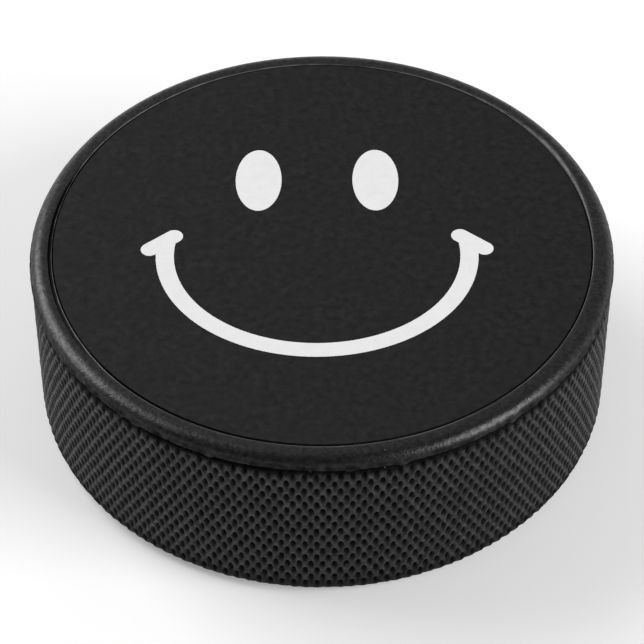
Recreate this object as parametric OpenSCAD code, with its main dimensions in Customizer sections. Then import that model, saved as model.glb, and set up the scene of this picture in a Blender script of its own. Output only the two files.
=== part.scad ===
// Ice hockey puck: a knurled rubber moulding with a printed label laid in its top face.
// The origin is the centre of the bottom face, +Z is the puck's axis, and +Y is the top of the printed face.

/* [Puck] */
// Diameter over the rounded top edge
puck_d = 76.2; // [60:0.1:92]
// Thickness of the whole puck
puck_h = 25.4; // [20:0.1:32]
// Radius of the rounded edge at the top
edge_r = 1.8; // [1.5:0.1:2.3]
// Radius of the rounded edge at the bottom, which the knurl runs on to
base_edge_r = 2; // [1:0.1:3]

/* [Knurled side] */
// Distance from the top face down to the lip of the rounded edge, over the parting groove
lip_drop = 1.4; // [1.3:0.1:1.5]
// Height of the parting groove, between the lip and the knurl
groove_h = 0.95; // [0.4:0.05:1.2]
// Depth of the parting groove, measured in from the puck's full radius
groove_depth = 0.6; // [0.3:0.05:1]
// Distance from the puck's full radius in to the knurl's crests
knurl_inset = 0.15; // [0.05:0.05:0.25]

/* [Label recess] */
// Width of the rim around the recess
rim_w = 2.9; // [2.5:0.1:4]
// Depth of the recess
recess_depth = 0.3; // [0.2:0.05:1]

/* [Label] */
// Clearance all round between the label and the recess wall
label_clearance = 0.25; // [0.2:0.05:1]
// Distance the label lies to the right of the recess's centre
label_shift_x = 0.05; // [-0.1:0.05:0.1]
// Distance the label lies above the recess's centre
label_shift_y = 0.15; // [-0.15:0.05:0.15]
// Thickness of the adhesive
adhesive_t = 0.05; // [0.03:0.01:0.1]
// Thickness of the label's film
film_t = 0.1; // [0.05:0.01:0.2]
// Thickness of the printed ink
ink_t = 0.05; // [0.02:0.01:0.1]

/* [Printed face] */
// Distance the print lies to the right of the puck's axis
print_shift_x = -0.6; // [-1.5:0.1:1.5]
// Width of each eye
eye_w = 6.1; // [3:0.1:9]
// Height of each eye
eye_h = 11.7; // [6:0.1:16]
// Distance between the two eyes' centres
eye_gap = 15.5; // [11:0.1:20]
// Height of the eyes' centres above the puck's axis
eye_rise = 12; // [10:0.1:15]
// Width of the smile over its outer curve
smile_w = 41.8; // [34:0.1:46]
// Depth of the smile's curve, from its widest level to its lowest point
smile_h = 18.3; // [14:0.1:20]
// Distance of the smile's widest level below the puck's axis
smile_drop = 1.9; // [0:0.1:6]
// How far each end of the smile curves on above its widest level, in degrees
smile_turn = 7; // [0:1:20]
// Width of the smile's stroke
smile_stroke = 2.35; // [1:0.05:4]
// Length of the crease across each end of the smile, between the centres of its round ends
crease_len = 3.9; // [2:0.1:5]
// Lean of each crease from level, in degrees
crease_lean = 38; // [20:1:60]
// Distance from the middle of the smile's stroke out to the middle of each crease
crease_out = 0.6; // [0:0.1:1]

/* [Hidden] */
round_steps = 128;
// A cutting solid reaches this far past the face it cuts
past = 1;
// The neck runs this far up into the rounded edge
neck_overlap = 0.05;
puck_r = puck_d / 2;
lip_z = puck_h - lip_drop;
knurl_r = puck_r - knurl_inset;
knurl_high = lip_z - groove_h;
recess_r = puck_r - rim_w;
recess_floor = puck_h - recess_depth;
label_r = recess_r - label_clearance;
film_base = recess_floor + adhesive_t;
ink_base = film_base + film_t;
eye_steps = 64;
smile_steps = 72;
smile_rx = smile_w / 2;
smile_start = 180 - smile_turn;
smile_end = 360 + smile_turn;
// The creases are level with the ends of the smile's stroke
crease_x = (smile_rx - smile_stroke / 2) * cos(smile_turn) + crease_out;
crease_y = (smile_h - smile_stroke / 2) * sin(smile_turn);

// Half of the knurled side's outline in the plane of the puck's axis, with the rounded bottom edge
module side_profile() {
  square([knurl_r - base_edge_r, knurl_high]);
  translate([0, base_edge_r]) square([knurl_r, knurl_high - base_edge_r]);
  translate([knurl_r - base_edge_r, base_edge_r]) circle(r = base_edge_r, $fn = round_steps);
}

// Half of the outline above the knurl: the neck behind the parting groove, and the rounded top edge
module top_profile() {
  translate([0, base_edge_r]) square([puck_r - groove_depth, lip_z + neck_overlap - base_edge_r]);
  translate([0, base_edge_r]) square([puck_r - edge_r, puck_h - base_edge_r]);
  intersection() {
    translate([puck_r - edge_r, puck_h - edge_r]) circle(r = edge_r, $fn = round_steps);
    translate([0, lip_z]) square([puck_r, lip_drop]);
  }
}

// One solid rubber moulding, with the recess for the label in its top face
module puck_body() {
  color("#1e1e20")
    rotate_extrude($fn = round_steps)
      difference() {
        union() {
          side_profile();
          top_profile();
        }
        translate([0, recess_floor]) square([recess_r, recess_depth + past]);
      }
}

// One layer of the label, laid in the recess with its base at height z
module label_layer(z, thickness) {
  translate([label_shift_x, label_shift_y, z])
    linear_extrude(thickness)
      circle(r = label_r, $fn = round_steps);
}

module label_adhesive() {
  color("#3a3936") label_layer(recess_floor, adhesive_t);
}

module label_film() {
  color("#18181a") label_layer(film_base, film_t);
}

// Points of an ellipse between two angles
function ellipse_points(rx, ry, from, to, steps) =
  [for (i = [0:steps]) let (a = from + (to - from) * i / steps) [rx * cos(a), ry * sin(a)]];

// Outline of one eye: side is -1 for the left and 1 for the right
module eye_outline(side) {
  translate([print_shift_x + side * eye_gap / 2, eye_rise])
    polygon(ellipse_points(eye_w / 2, eye_h / 2, 0, 360 - 360 / eye_steps, eye_steps - 1));
}

// A bar with round ends, level and centred on the origin
module round_bar(len, width) {
  square([len, width], center = true);
  for (side = [-1, 1])
    translate([side * len / 2, 0]) circle(d = width, $fn = round_steps);
}

// Outline of the smile: the lower part of an elliptical ring, with a crease across each end
module smile_outline() {
  translate([print_shift_x, -smile_drop]) {
    polygon(concat(
      ellipse_points(smile_rx, smile_h, smile_start, smile_end, smile_steps),
      ellipse_points(smile_rx - smile_stroke, smile_h - smile_stroke, smile_end, smile_start, smile_steps)
    ));
    for (side = [-1, 1])
      translate([side * crease_x, crease_y])
        rotate(-side * crease_lean)
          round_bar(crease_len, smile_stroke);
  }
}

// Puts an outline in the layer of ink
module ink_layer() {
  translate([0, 0, ink_base]) linear_extrude(ink_t) children();
}

// The black ground covers the film and leaves the face open
module black_ink_ground() {
  color("#2a2a2b")
    ink_layer()
      difference() {
        translate([label_shift_x, label_shift_y]) circle(r = label_r, $fn = round_steps);
        for (side = [-1, 1]) eye_outline(side);
        smile_outline();
      }
}

module left_eye_ink() {
  color("#efefee") ink_layer() eye_outline(-1);
}

module right_eye_ink() {
  color("#efefee") ink_layer() eye_outline(1);
}

module smile_ink() {
  color("#efefee") ink_layer() smile_outline();
}

puck_body();
label_adhesive();
label_film();
black_ink_ground();
left_eye_ink();
right_eye_ink();
smile_ink();
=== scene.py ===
"""An ice hockey puck: a knurled rubber moulding with a printed label laid in its top face."""

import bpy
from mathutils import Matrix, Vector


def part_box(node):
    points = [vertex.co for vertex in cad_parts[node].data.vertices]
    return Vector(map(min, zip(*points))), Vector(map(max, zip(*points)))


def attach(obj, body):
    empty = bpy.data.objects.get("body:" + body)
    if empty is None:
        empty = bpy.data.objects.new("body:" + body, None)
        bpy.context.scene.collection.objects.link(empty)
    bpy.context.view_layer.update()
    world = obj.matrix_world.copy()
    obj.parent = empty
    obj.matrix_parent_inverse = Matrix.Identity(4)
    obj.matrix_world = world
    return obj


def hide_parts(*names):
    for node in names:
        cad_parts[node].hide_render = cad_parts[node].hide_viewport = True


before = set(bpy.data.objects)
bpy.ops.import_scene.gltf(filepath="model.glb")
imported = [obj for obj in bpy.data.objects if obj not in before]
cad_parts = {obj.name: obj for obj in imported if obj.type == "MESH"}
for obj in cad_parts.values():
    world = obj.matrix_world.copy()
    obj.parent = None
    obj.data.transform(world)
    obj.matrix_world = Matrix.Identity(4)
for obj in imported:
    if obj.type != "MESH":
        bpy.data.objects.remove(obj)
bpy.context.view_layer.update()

from functools import partial
import math

import bpy
import numpy as np
from mathutils import Matrix, Vector, noise

MM = 0.001

# ---------------------------------------------------------------- sizes, in metres

puck_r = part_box("puck_body")[1].x
puck_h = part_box("puck_body")[1].z
recess_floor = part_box("label_adhesive")[0].z

edge_r = 1.8 * MM
lip_z = puck_h - 1.4 * MM
base_edge_r = 2 * MM
groove_r = puck_r - 0.6 * MM
recess_r = puck_r - 2.9 * MM

knurl_r = puck_r - 0.15 * MM
knurl_high = lip_z - 0.95 * MM
# The knurl's cells are hollow, and each has a steeper pit a little above its middle
hollow_depth = 0.26 * MM
pit_depth = 0.36 * MM
# How far each pit is moved up its cell, as a phase of the knurl's waves
pit_lead = 0.5 * math.pi * 0.28
# Pits round the puck in one row, and the height from one row to the next one that lines up with it
knurl_pitches = 160
knurl_period = 2.53 * MM
# Share of a period that puts the middle of the puck's height midway between two rows of pits
knurl_phase = 0.25
samples_per_pitch = 8
# Where the knurl's lowest ring lies, measured along the surface from the bottom of the straight side
knurl_foot = 0.3 * MM

# Columns of points round the puck in the knurl, on the top's rounded edge and on the flat ends
knurl_columns = knurl_pitches * samples_per_pitch
edge_columns = knurl_columns // 2
flat_columns = knurl_columns // 4
# Rings of the rounded bottom edge below the knurl, in degrees down from the straight side
base_angles = (90, 80, 70, 60)
# Rings of the rounded top edge, in degrees up from its widest level: it grows torn and rough below torn_angle
edge_angles = (13, 16, 21, 28, 35, 42, 50, 60, 70, 80, 90)
torn_angle = 42

# Angles round the puck, in degrees from +X: the rim's ridge swings outward by shelf_w round shelf_angle
shelf_angle = 32
shelf_spread = 20
shelf_w = 0.5 * MM
# The deep crescent outside the ridge lies round crescent_angle, and fades over crescent_fade at each end
crescent_angle = -171
crescent_fade = 17

# ---------------------------------------------------------------- the rubber moulding


class Rings:
    """A closed surface built from rings of points, from the flat bottom up to the recess's floor."""

    def __init__(self):
        self.points = []
        self.starts = []
        self.counts = []
        self.rises = []
        self.faces = []
        self.shares = {"worn": [], "torn": [], "dull": []}

    def add(self, radii, heights, count, rise=0, worn=0, torn=0, dull=0):
        """Adds a ring of points. rise is its place up the side in the map. The last three shares are
        how far the rubber there is scuffed pale or given a painted highlight, roughened, and left
        without its polish and darkened with painted shade."""
        turn = 2 * math.pi * np.arange(count) / count
        radii = np.broadcast_to(radii, count)
        heights = np.broadcast_to(heights, count)
        self.starts.append(len(self.points))
        self.counts.append(count)
        self.rises.append(rise)
        self.points += zip(radii * np.cos(turn), radii * np.sin(turn), heights)
        self.shares["worn"] += list(np.broadcast_to(worn, count))
        self.shares["torn"] += list(np.broadcast_to(torn, count))
        self.shares["dull"] += list(np.broadcast_to(dull, count))

    def join(self, low, high):
        """Makes the triangles between two rings, as (ring, column) corners, outward side out."""
        few, many = self.counts[low], self.counts[high]
        if few == many:
            self.join_equal(low, high)
        elif few < many:
            self.join_fan(low, high, many // few, 1)
        else:
            self.join_fan(high, low, few // many, -1)

    def join_equal(self, low, high):
        """Splits each square along the diagonal that stands out further, so that ridges stay whole."""
        count = self.counts[low]
        reach = [
            [math.hypot(*self.points[self.starts[ring] + column % count][:2]) for column in range(count + 1)]
            for ring in (low, high)
        ]
        for i in range(count):
            a, b = (low, i), (low, i + 1)
            c, d = (high, i + 1), (high, i)
            if reach[0][i] + reach[1][i + 1] >= reach[0][i + 1] + reach[1][i]:
                self.faces += [(a, b, c), (a, c, d)]
            else:
                self.faces += [(a, b, d), (b, c, d)]

    def join_fan(self, coarse, fine, ratio, way):
        """Joins a ring to one with ratio times its points. way is 1 where the fine ring is the higher."""
        half = max(ratio // 2, 1)
        for i in range(self.counts[coarse]):
            here, after = (coarse, i), (coarse, i + 1)
            near = [(fine, i * ratio + k) for k in range(ratio + 1)]
            fans = [(here, near[k + 1], near[k]) for k in range(half)]
            fans += [(here, after, near[half])]
            fans += [(after, near[k + 1], near[k]) for k in range(half, ratio)]
            self.faces += fans if way == 1 else [face[::-1] for face in fans]

    def cap(self, ring, height, way):
        """Closes a ring with a centre point. way is 1 at the top and -1 at the bottom."""
        self.add(0, height, 1)
        centre = (len(self.starts) - 1, 0)
        for i in range(self.counts[ring]):
            face = ((ring, i), (ring, i + 1), centre)
            self.faces.append(face if way == 1 else face[::-1])

    def index(self, corner):
        ring, column = corner
        return self.starts[ring] + column % self.counts[ring]


def wobble(radius, height, count, grain, seed):
    """Smooth noise from -1 to 1 round a ring, with features about grain across."""
    turn = 2 * math.pi * np.arange(count) / count
    spots = np.stack([radius * np.cos(turn), radius * np.sin(turn), np.broadcast_to(height, count)], 1)
    return np.array([noise.noise(Vector(spot / grain) + Vector((seed, 0, 0))) for spot in spots])


def smooth_step(value):
    """0 below 0, 1 above 1, and a smooth rise between."""
    value = np.clip(value, 0, 1)
    return value * value * (3 - 2 * value)


def swell(turns, lead=0):
    """A wave that goes from 0 to 1 and back in every turn. lead is its phase, in radians."""
    return 0.5 - 0.5 * np.cos(2 * math.pi * turns - lead)


def knurl_ring(rings, rise):
    """One ring of the knurl, two crossing sets of ribs with a hollow cell in each gap.

    rise is its height up the straight side. Below the side it goes on along the rounded bottom edge."""
    count = knurl_columns
    ripple = partial(wobble, puck_r, rise, count)
    # The ribs wander a little from their even places
    around = knurl_pitches * np.arange(count) / count + 0.05 * ripple(grain=3 * MM, seed=41)
    up = (rise - puck_h / 2) / knurl_period + knurl_phase
    up = up + 0.045 * ripple(grain=3 * MM, seed=43)
    gap = swell(around + up) * swell(around - up)
    # Next to the parting groove and on the bottom edge the cells are crushed and uneven
    near_top = smooth_step((rise - knurl_high) / MM + 1.6)
    near_base = smooth_step(1.5 - rise / base_edge_r)
    near_end = max(near_top, near_base)
    uneven = (0.4 + 0.4 * near_end) * ripple(grain=1.8 * MM, seed=47)
    # Each pit lies a little high in its cell, so its lower wall is the gentler one
    gap_high = swell(around + up, pit_lead) * swell(around - up, -pit_lead)
    pit = smooth_step((gap_high - 0.25) / 0.5)
    depth = (hollow_depth * gap**0.6 + pit_depth * pit) * (1 + uneven)
    # The whole surface is worn down by a little, in millimetres, and more at both ends of the knurl
    wear = 0.05 * (0.5 + 0.5 * ripple(grain=1.2 * MM, seed=53))
    wear += 0.04 * (0.5 + 0.5 * ripple(grain=0.55 * MM, seed=59))
    wear += 0.25 * near_end * np.clip(ripple(grain=1.1 * MM, seed=71) - 0.1, 0, 1)
    depth = depth + wear * MM
    # The knurl's top is crushed in along a ragged line
    ragged = 0.8 * ripple(grain=1.6 * MM, seed=73)
    crushed = smooth_step((rise - knurl_high) / (0.45 * MM) + 1.5 + ragged)
    depth = depth + crushed * (0.12 + 0.3 * np.abs(ragged)) * MM
    # At its foot the knurl runs out
    depth = depth * float(smooth_step((rise - 0.5 * knurl_foot) / knurl_foot))
    turn = max(base_edge_r - rise, 0) / base_edge_r
    radius = knurl_r - base_edge_r * (1 - math.cos(turn)) - depth * math.cos(turn)
    height = rise if turn == 0 else base_edge_r * (1 - math.sin(turn)) + depth * math.sin(turn)
    # The hollows, the pits and both ends lack the polish of the ribs, and are darkened with painted shade,
    # also towards the bottom
    dull = 0.5 * smooth_step((gap - 0.02) / 0.3) + 0.6 * smooth_step((gap_high - 0.14) / 0.3)
    dull = np.clip(dull + 0.3 * ripple(grain=0.7 * MM, seed=79) * (1 - dull), 0, 1)
    dull_and_shaded_foot = 0.75 * smooth_step(1.9 - rise / base_edge_r)
    dull = np.maximum(dull, np.maximum(crushed, dull_and_shaded_foot))
    # The crests of the ribs are scuffed pale in places, a painted highlight as well as wear
    rib_scuff_highlights = np.clip(2 * ripple(grain=0.5 * MM, seed=83), 0, 1)
    worn = 0.24 * smooth_step((0.16 - gap) / 0.12) * rib_scuff_highlights * (1 - dull)
    rings.add(radius, height, count, rise, worn=worn, torn=0.45, dull=dull)


def knurl_rises():
    """Where the knurl's rings lie: three to every row of pits, one at its foot and two at its top.

    The middle one of each three goes through the row's middle. The top two hold the crushed band."""
    row_gap = knurl_period / 2
    first_row = puck_h / 2 + row_gap / 2
    shoulder = 0.36 * MM
    most_rows = 20
    rows = range(-math.floor((first_row - knurl_foot - shoulder) / row_gap), most_rows)
    rises = [first_row + row * row_gap + step for row in rows for step in (-shoulder, 0, shoulder)]
    crushed_from = knurl_high - 0.22 * MM
    below = [rise for rise in rises if rise < crushed_from]
    return [knurl_foot] + below + [crushed_from, knurl_high]


def groove(rings):
    """The parting groove's floor, between the knurl and the rounded top edge."""
    corner = 0.03 * MM
    # The groove's floor has no polish and is darkened with painted shade
    rings.add(groove_r, knurl_high + corner, edge_columns, knurl_high, torn=1, dull=1)
    rings.add(groove_r, lip_z - corner, edge_columns, lip_z - corner, torn=1, dull=1)


def lip(rings):
    """The ragged lip where the rounded top edge meets the groove, with nibs of flash over the groove."""
    count = edge_columns
    ripple = partial(wobble, puck_r, lip_z, count)
    slow = ripple(grain=2.5 * MM, seed=21)
    fast = ripple(grain=0.8 * MM, seed=27)
    nibs = np.clip(ripple(grain=1.3 * MM, seed=31) - 0.25, 0, 1)
    droop = np.clip((0.2 * slow + 0.25 * fast + 1.8 * nibs) * MM, -0.2 * MM, 0.5 * MM)
    # The lip is left without polish and darkened with painted shade
    rings.add(puck_r - (0.12 + 0.06 * fast) * MM, lip_z - droop, count, lip_z, torn=1, dull=0.7)


def edge_ring(rings, angle):
    """One ring of the rounded top edge. angle is 0 at the side and 90 at the flat face."""
    turn = math.radians(angle)
    radius = puck_r - edge_r * (1 - math.cos(turn))
    height = puck_h - edge_r * (1 - math.sin(turn))
    count = edge_columns
    ripple = partial(wobble, radius, height, count)
    torn = float(smooth_step((torn_angle - angle) / 20))
    uneven = 0.5 + 0.35 * ripple(grain=5 * MM, seed=3) + 0.15 * ripple(grain=1.4 * MM, seed=11)
    pocks = np.clip(ripple(grain=0.9 * MM, seed=15), 0, 1)
    inward = (0.045 * uneven + 0.16 * torn * pocks) * MM * math.cos(turn)
    # Below torn_angle the rubber loses its polish and is darkened with painted shade, in patches
    dull = torn * np.clip(0.35 + 0.5 * pocks + 0.9 * ripple(grain=1.1 * MM, seed=19), 0, 1)
    rise = lip_z + edge_r * (turn - math.radians(edge_angles[0]))
    rings.add(radius - inward, height, count, rise, torn=torn, dull=dull)


def turns_from(angle, count):
    """How far each point of a ring lies from an angle round the puck, in degrees from -180 to 180."""
    turn = 360 * np.arange(count) / count - angle
    return (turn + 180) % 360 - 180


def rim(rings):
    """The rim's inner edge: a ridge scuffed pale that also carries a painted highlight, a crescent beside it
    at the left, and the recess's wall. The crescent's floor and the wall are darkened with painted shade.
    """
    count = edge_columns
    ripple = partial(wobble, recess_r, puck_h, count)
    slow = ripple(grain=9 * MM, seed=61)
    fast = ripple(grain=1.6 * MM, seed=67)
    # At the back right the ridge swings outward and leaves a shelf beside the label
    swing = shelf_w * np.exp(-((turns_from(shelf_angle, count) / shelf_spread) ** 2))
    # 1 in the crescent and 0 away from it. There the ridge leans in over the gap
    share = smooth_step(2.2 - np.abs(turns_from(crescent_angle, count)) / crescent_fade)
    ridge = recess_r + swing + (0.12 + 0.06 * slow + 0.03 * fast - 0.15 * share) * MM
    inner = ridge + 0.05 * MM
    outer = inner + (0.08 + 0.36 * share) * MM
    floor = puck_h - (0.03 + 0.4 * share) * MM
    # Pale scuffs along the ridge and beside it paint its highlight as well; the crescent's floor and the
    # recess's wall get painted shade
    rings.add(outer + 0.12 * MM, puck_h, count)
    rings.add(outer, puck_h - (0.02 + 0.01 * fast) * MM, count, worn=0.12 * (1 - share))
    rings.add(outer - 0.02 * MM, floor, count, dull=1)
    rings.add(inner, floor, count, worn=0.2 * (1 - share), dull=1)
    ridge_scuff_highlight = np.clip(0.7 + 0.6 * slow + 0.6 * fast - 0.5 * share, 0, 1)
    rings.add(ridge, puck_h - 0.01 * MM, count, worn=ridge_scuff_highlight)
    rings.add(ridge - 0.07 * MM, puck_h - 0.04 * MM, count, worn=0.7 * ridge_scuff_highlight)
    rings.add(recess_r + (0.02 - 0.1 * share) * MM, puck_h - 0.12 * MM, count, dull=1)
    rings.add(recess_r, recess_floor, count, dull=1)


def build_rubber():
    """The whole moulding as one closed mesh, and which of its rings are on the side."""
    rings = Rings()
    # The rings that fill each flat end, as a radius and a count of points
    discs = ((10 * MM, flat_columns // 4), (22 * MM, flat_columns // 2), (32 * MM, flat_columns))
    for radius, count in discs:
        rings.add(radius, 0, count)
    first_side = len(rings.starts)
    for angle in base_angles:
        turn = math.radians(angle)
        radius = knurl_r - base_edge_r * (1 - math.cos(turn))
        rings.add(radius, base_edge_r * (1 - math.sin(turn)), flat_columns, base_edge_r * (1 - turn))
    for rise in knurl_rises():
        knurl_ring(rings, rise)
    groove(rings)
    lip(rings)
    for angle in edge_angles:
        edge_ring(rings, angle)
    last_side = len(rings.starts) - 1
    rim(rings)
    for radius, count in discs[::-1]:
        rings.add(radius, recess_floor, count)
    for ring in range(len(rings.starts) - 1):
        rings.join(ring, ring + 1)
    last = len(rings.starts) - 1
    rings.cap(last, recess_floor, 1)
    rings.cap(0, 0, -1)
    return rings, first_side, last_side


def map_rubber(mesh, rings, first_side, last_side):
    """A map in real proportions: the side in four strips, with the two flat ends beside them."""
    strips = 4
    strip_w = 2 * math.pi * puck_r / strips
    margin = 1.5 * MM
    lowest = rings.rises[first_side]
    strip_h = rings.rises[last_side] - lowest
    page = 4 * puck_r + 3 * margin
    places = []
    for face in rings.faces:
        spots = [rings.points[rings.index(corner)] for corner in face]
        if not all(first_side <= ring <= last_side for ring, column in face):
            is_top = sum(spot[2] for spot in spots) > 1.5 * puck_h
            x = page - margin - puck_r
            y = margin + puck_r + (2 * puck_r + margin if is_top else 0)
            places += [(x + spot[0], y + spot[1]) for spot in spots]
            continue
        turns = [column / rings.counts[ring] * strips for ring, column in face]
        strip = math.floor(sum(turns) / 3)
        foot = margin + strip * (strip_h + margin) - lowest
        places += [
            (margin + (turn - strip) * strip_w, foot + rings.rises[ring])
            for turn, (ring, column) in zip(turns, face)
        ]
    layer = mesh.uv_layers.new(name="OFBake")
    layer.uv.foreach_set("vector", (np.array(places) / page).astype(np.float32).ravel())


def make_puck_rubber():
    rings, first_side, last_side = build_rubber()
    mesh = bpy.data.meshes.new("puck_rubber")
    mesh.from_pydata(rings.points, [], [[rings.index(corner) for corner in face] for face in rings.faces])
    mesh.shade_smooth()
    map_rubber(mesh, rings, first_side, last_side)
    for name, share in rings.shares.items():
        mesh.attributes.new(name, "FLOAT", "POINT").data.foreach_set("value", np.array(share, np.float32))
    piece = bpy.data.objects.new("puck_rubber", mesh)
    bpy.context.scene.collection.objects.link(piece)
    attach(piece, "root")
    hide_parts("puck_body")
    return piece


# ---------------------------------------------------------------- materials


class Surface:
    """A material with a Principled shader and short ways to add the nodes that drive it."""

    def __init__(self, name, **values):
        self.material = bpy.data.materials.new(name)
        self.material.use_nodes = True
        self.nodes = self.material.node_tree.nodes
        self.links = self.material.node_tree.links
        self.shader = self.nodes["Principled BSDF"]
        for socket, value in values.items():
            self.shader.inputs[socket.replace("_", " ")].default_value = value
        self.place = self.nodes.new("ShaderNodeTexCoord").outputs["Object"]

    def noise(self, grain, detail=3.0, roughness=0.5):
        """Noise with features about grain across, in metres."""
        node = self.nodes.new("ShaderNodeTexNoise")
        node.inputs["Scale"].default_value = 1 / grain
        node.inputs["Detail"].default_value = detail
        node.inputs["Roughness"].default_value = roughness
        self.links.new(self.place, node.inputs["Vector"])
        return node.outputs["Fac"]

    def share(self, name):
        """One of the shares that the mesh holds at its points."""
        node = self.nodes.new("ShaderNodeAttribute")
        node.attribute_name = name
        return node.outputs["Fac"]

    def ramp(self, source, low, high, start=0.35, end=0.65):
        """source from start to end, turned into a value from low to high."""
        node = self.nodes.new("ShaderNodeMapRange")
        node.inputs["From Min"].default_value = start
        node.inputs["From Max"].default_value = end
        node.inputs["To Min"].default_value = low
        node.inputs["To Max"].default_value = high
        self.links.new(source, node.inputs["Value"])
        return node.outputs["Result"]

    def mix(self, amount, one, other):
        """A colour from one to the other. Each is a colour or a socket that gives one."""
        node = self.nodes.new("ShaderNodeMix")
        node.data_type = "RGBA"
        self.links.new(amount, node.inputs["Factor"])
        for name, colour in (("A", one), ("B", other)):
            socket = [s for s in node.inputs if s.name == name and s.type == "RGBA"][0]
            if isinstance(colour, bpy.types.NodeSocket):
                self.links.new(colour, socket)
            else:
                socket.default_value = (*colour, 1)
        return [s for s in node.outputs if s.type == "RGBA"][0]

    def blend(self, amount, source, value):
        """A number from source to value."""
        node = self.nodes.new("ShaderNodeMix")
        self.links.new(amount, node.inputs["Factor"])
        self.links.new(source, node.inputs["A"])
        node.inputs["B"].default_value = value
        return node.outputs["Result"]

    def specks(self, cell, size, share):
        """1 in small round specks and 0 elsewhere: one speck in a share of the cells, each cell across."""
        node = self.nodes.new("ShaderNodeTexVoronoi")
        node.inputs["Scale"].default_value = 1 / cell
        self.links.new(self.place, node.inputs["Vector"])
        spot = self.ramp(node.outputs["Distance"], 1, 0, 0.6 * size / cell, size / cell)
        pick = self.nodes.new("ShaderNodeSeparateColor")
        self.links.new(node.outputs["Color"], pick.inputs["Color"])
        chosen = self.ramp(pick.outputs["Red"], 1, 0, share, share + 0.01)
        both = self.nodes.new("ShaderNodeMath")
        both.operation = "MULTIPLY"
        self.links.new(spot, both.inputs[0])
        self.links.new(chosen, both.inputs[1])
        return both.outputs["Value"]

    def bump(self, height, distance, below=None):
        """Raises the surface by height times distance, over any bump below it."""
        node = self.nodes.new("ShaderNodeBump")
        node.inputs["Distance"].default_value = distance
        self.links.new(height, node.inputs["Height"])
        if below is not None:
            self.links.new(below, node.inputs["Normal"])
        return node.outputs["Normal"]

    def drive(self, socket, source):
        self.links.new(source, self.shader.inputs[socket])


def rubber_material():
    """Moulded black rubber: mottled grain, an uneven polish that the pits lack, painted shade in the pits,
    groove and recess, pale scuffs that also paint highlights, and pale specks.
    """
    black = (0.001, 0.001, 0.0011)
    dark_grey = (0.011, 0.011, 0.0113)
    shade_black = (0.001, 0.001, 0.001)
    dust = (0.16, 0.16, 0.16)
    scuff_highlight_grey = (0.15, 0.15, 0.15)
    s = Surface("rubber", IOR=1.5, Specular_IOR_Level=0.1, Coat_IOR=1.5, Coat_Roughness=0.3)
    base = s.mix(s.ramp(s.noise(0.6 * MM, 4, 0.7), 0, 1), black, dark_grey)
    # Painted shade: the rubber turns blacker in the pits, the groove, the recess and towards the bottom
    base = s.mix(s.share("dull"), base, shade_black)
    dusty = s.mix(s.specks(cell=1.5 * MM, size=0.14 * MM, share=0.14), base, dust)
    # Pale scuffs, which also paint highlights on the rim's ridge and on the ribs' crests
    s.drive("Base Color", s.mix(s.share("worn"), dusty, scuff_highlight_grey))
    even = s.ramp(s.noise(1.1 * MM, 4), 0.3, 0.44)
    s.drive("Roughness", s.blend(s.share("torn"), even, 0.8))
    polish = s.ramp(s.noise(0.5 * MM, 3, 0.6), 0.5, 1, 0.38, 0.6)
    s.drive("Coat Weight", s.blend(s.share("dull"), polish, 0))
    grain = s.bump(s.noise(0.3 * MM, 3, 0.6), 0.04 * MM)
    uneven = s.bump(s.noise(1.3 * MM, 2), 0.05 * MM, grain)
    s.drive("Normal", uneven)
    s.drive("Coat Normal", uneven)
    return s.material


def black_ink_material():
    """Matt black print with a faint mottle."""
    black = (0.001, 0.001, 0.0011)
    dark_grey = (0.0135, 0.0135, 0.0138)
    middle_tone = (0.0055, 0.0055, 0.0057)
    s = Surface("black_ink", IOR=1.5, Specular_IOR_Level=0.25)
    fine = s.mix(s.ramp(s.noise(1.1 * MM, 4, 0.65), 0, 1), black, dark_grey)
    broad = s.ramp(s.noise(5 * MM, 2), 0, 0.5)
    s.drive("Base Color", s.mix(broad, fine, middle_tone))
    s.drive("Roughness", s.ramp(s.noise(2.5 * MM), 0.55, 0.7))
    s.drive("Normal", s.bump(s.noise(0.8 * MM, 4), 0.03 * MM))
    return s.material


def white_ink_material():
    """Matt white print with a very faint mottle."""
    off_white = (0.83, 0.83, 0.83)
    white = (0.87, 0.87, 0.87)
    s = Surface("white_ink", IOR=1.5, Specular_IOR_Level=0.25)
    s.drive("Base Color", s.mix(s.ramp(s.noise(1.3 * MM, 4, 0.6), 0, 1), off_white, white))
    s.drive("Roughness", s.ramp(s.noise(2.5 * MM), 0.5, 0.62))
    s.drive("Normal", s.bump(s.noise(0.6 * MM, 4), 0.012 * MM))
    return s.material


def film_material():
    """The label's black plastic film, seen only at its cut edge."""
    black = (0.007, 0.007, 0.0075)
    dark_grey = (0.012, 0.012, 0.0125)
    s = Surface("label_film", IOR=1.5)
    s.drive("Base Color", s.mix(s.ramp(s.noise(0.8 * MM), 0, 1), black, dark_grey))
    s.drive("Roughness", s.ramp(s.noise(0.5 * MM), 0.4, 0.55))
    return s.material


def adhesive_material():
    """A matt adhesive, mottled between a darker and a lighter tone."""
    darker_tone = (0.012, 0.012, 0.011)
    lighter_tone = (0.04, 0.039, 0.036)
    s = Surface("label_adhesive", IOR=1.48)
    s.drive("Base Color", s.mix(s.ramp(s.noise(0.7 * MM), 0, 1), darker_tone, lighter_tone))
    s.drive("Roughness", s.ramp(s.noise(0.9 * MM), 0.6, 0.85))
    return s.material


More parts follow.
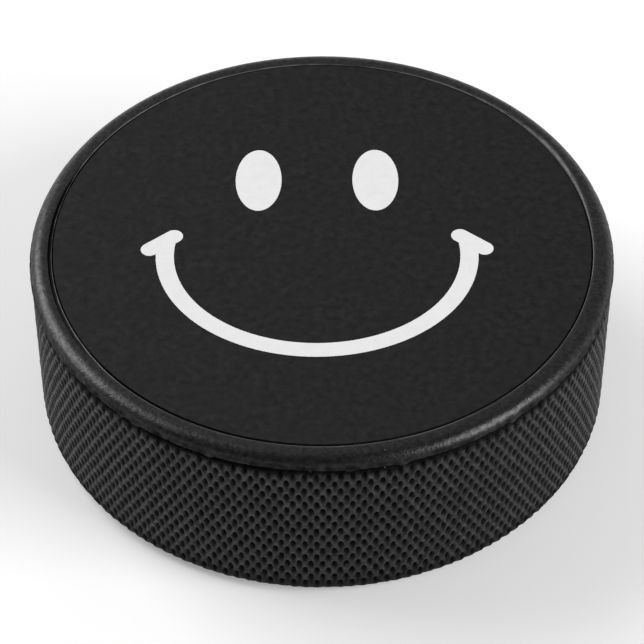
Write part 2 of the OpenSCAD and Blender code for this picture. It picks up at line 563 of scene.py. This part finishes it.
def floor_material():
    """A plain pale sheet that glows a little. It throws less light on the puck than the camera sees on it."""
    thrown_grey = (0.34, 0.34, 0.34)
    pale_grey = (0.82, 0.82, 0.82)
    paler_grey = (0.84, 0.84, 0.84)
    s = Surface("floor", Specular_IOR_Level=0.2, Emission_Color=(1, 1, 1, 1), Emission_Strength=0.25)
    pale = s.mix(s.ramp(s.noise(40 * MM), 0, 1), pale_grey, paler_grey)
    seen = s.nodes.new("ShaderNodeLightPath").outputs["Is Camera Ray"]
    s.drive("Base Color", s.mix(seen, thrown_grey, pale))
    s.drive("Roughness", s.ramp(s.noise(20 * MM), 0.8, 0.9))
    return s.material


def dress(piece, material):
    """Gives a piece one material and no other."""
    piece.data.materials.clear()
    piece.data.materials.append(material)


# ---------------------------------------------------------------- camera, lights and floor

middle = Vector((0, 0, puck_h / 2))


def make_camera():
    elevation = math.radians(45.9)
    tilt = math.radians(-0.222)
    roll = math.radians(0.2)
    distance = 0.3834
    data = bpy.data.cameras.new("camera")
    data.sensor_width = 36
    data.lens = 161
    data.clip_start = 0.01
    data.clip_end = 20
    camera = bpy.data.objects.new("camera", data)
    place = middle + distance * Vector((0, -math.cos(elevation), math.sin(elevation)))
    aim = Matrix.Rotation(math.pi / 2 - elevation + tilt, 4, "X") @ Matrix.Rotation(-roll, 4, "Z")
    camera.matrix_world = Matrix.Translation(place) @ aim
    bpy.context.scene.collection.objects.link(camera)
    bpy.context.scene.camera = camera


def make_softbox(name, towards, distance, width, height, radiance):
    """A soft area light that faces the puck from a direction."""
    data = bpy.data.lights.new(name, "AREA")
    data.shape = "RECTANGLE"
    data.size = width
    data.size_y = height
    data.energy = math.pi * width * height * radiance
    lamp = bpy.data.objects.new(name, data)
    back = Vector(towards).normalized()
    lamp.location = middle + back * distance
    lamp.rotation_mode = "QUATERNION"
    lamp.rotation_quaternion = back.to_track_quat("Z", "Y")
    lamp.visible_camera = False
    bpy.context.scene.collection.objects.link(lamp)


def make_world():
    """A room that is pale low down, dim overhead and dimmest high in front.

    The camera sees a plain white backdrop in its place."""
    world = bpy.data.worlds.new("room")
    bpy.context.scene.world = world
    world.use_nodes = True
    nodes, links = world.node_tree.nodes, world.node_tree.links

    def ramp(source, start, end, low, high):
        node = nodes.new("ShaderNodeMapRange")
        node.interpolation_type = "SMOOTHSTEP"
        node.inputs["From Min"].default_value = start
        node.inputs["From Max"].default_value = end
        node.inputs["To Min"].default_value = low
        node.inputs["To Max"].default_value = high
        links.new(source, node.inputs["Value"])
        return node.outputs["Result"]

    towards = nodes.new("ShaderNodeSeparateXYZ")
    links.new(nodes.new("ShaderNodeTexCoord").outputs["Generated"], towards.inputs["Vector"])
    overhead = ramp(towards.outputs["Y"], start=-0.6, end=0.7, low=0.05, high=0.34)
    low_down = ramp(towards.outputs["Z"], start=0.0, end=0.75, low=0.7, high=0.0)
    total = nodes.new("ShaderNodeMath")
    total.operation = "MAXIMUM"
    links.new(overhead, total.inputs[0])
    links.new(low_down, total.inputs[1])
    room = nodes["Background"]
    room.inputs["Color"].default_value = (1, 1, 1, 1)
    links.new(total.outputs["Value"], room.inputs["Strength"])
    backdrop = nodes.new("ShaderNodeBackground")
    backdrop.inputs["Color"].default_value = (1, 1, 1, 1)
    either = nodes.new("ShaderNodeMixShader")
    seen = nodes.new("ShaderNodeLightPath").outputs["Is Camera Ray"]
    links.new(seen, either.inputs[0])
    links.new(room.outputs[0], either.inputs[1])
    links.new(backdrop.outputs[0], either.inputs[2])
    links.new(either.outputs[0], nodes["World Output"].inputs["Surface"])


def make_floor():
    side = 3.0
    # Just under the puck, so that the two flat faces don't share a plane
    level = -0.05 * MM
    mesh = bpy.data.meshes.new("floor")
    corners = [(x * side / 2, y * side / 2, level) for x, y in ((-1, -1), (1, -1), (1, 1), (-1, 1))]
    mesh.from_pydata(corners, [], [(0, 1, 2, 3)])
    floor = bpy.data.objects.new("floor", mesh)
    bpy.context.scene.collection.objects.link(floor)
    dress(floor, floor_material())


# ---------------------------------------------------------------- the scene

make_camera()
make_world()
make_floor()
make_softbox("left_softbox", (-0.65, 0.38, 0.6), distance=0.8, width=0.58, height=0.58, radiance=4.3)
make_softbox("right_softbox", (0.78, -0.38, 0.56), distance=0.8, width=0.44, height=0.44, radiance=7.0)

rubber = make_puck_rubber()
dress(rubber, rubber_material())
black_ink = black_ink_material()
white_ink = white_ink_material()
dress(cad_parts["label_adhesive"], adhesive_material())
dress(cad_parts["label_film"], film_material())
dress(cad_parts["black_ink_ground"], black_ink)
for node in ("left_eye_ink", "right_eye_ink", "smile_ink"):
    dress(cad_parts[node], white_ink)

bpy.context.scene.view_settings.view_transform = "Standard"
